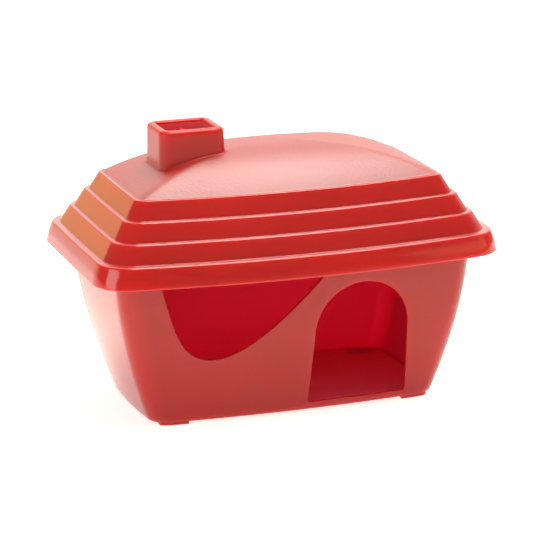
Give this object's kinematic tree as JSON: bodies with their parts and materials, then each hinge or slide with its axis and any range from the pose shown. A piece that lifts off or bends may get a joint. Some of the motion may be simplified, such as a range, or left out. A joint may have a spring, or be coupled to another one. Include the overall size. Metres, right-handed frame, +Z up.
{
  "type": "small pet house",
  "caption": "Small two-piece plastic house for a hamster or mouse: open tub with arched doorway and curved window, under a stepped lift-off roof with a square chimney.",
  "frame": {"origin": "on the ground under the middle of the house, at the centre of the bottom of its box", "axes": "+X along the house to the right as seen from the front, +Y from the front wall with the doorway to the back, +Z up"},
  "size_m": [0.161, 0.106, 0.109],
  "materials": {
    "roof_red": "glossy moulded plastic, with a fine matte grain on the domed top",
    "tub_red": "glossy moulded plastic, very slightly translucent"
  },
  "bodies": {
    "tub_body": {"tub": "tub_red"},
    "roof_body": {"roof": "roof_red"}
  },
  "joints": [
    {"name": "roof_lift", "type": "slide", "parent": "tub_body", "child": "roof_body", "axis": [0, 0, 1], "range_m": [0, 0.08]}
  ]
}
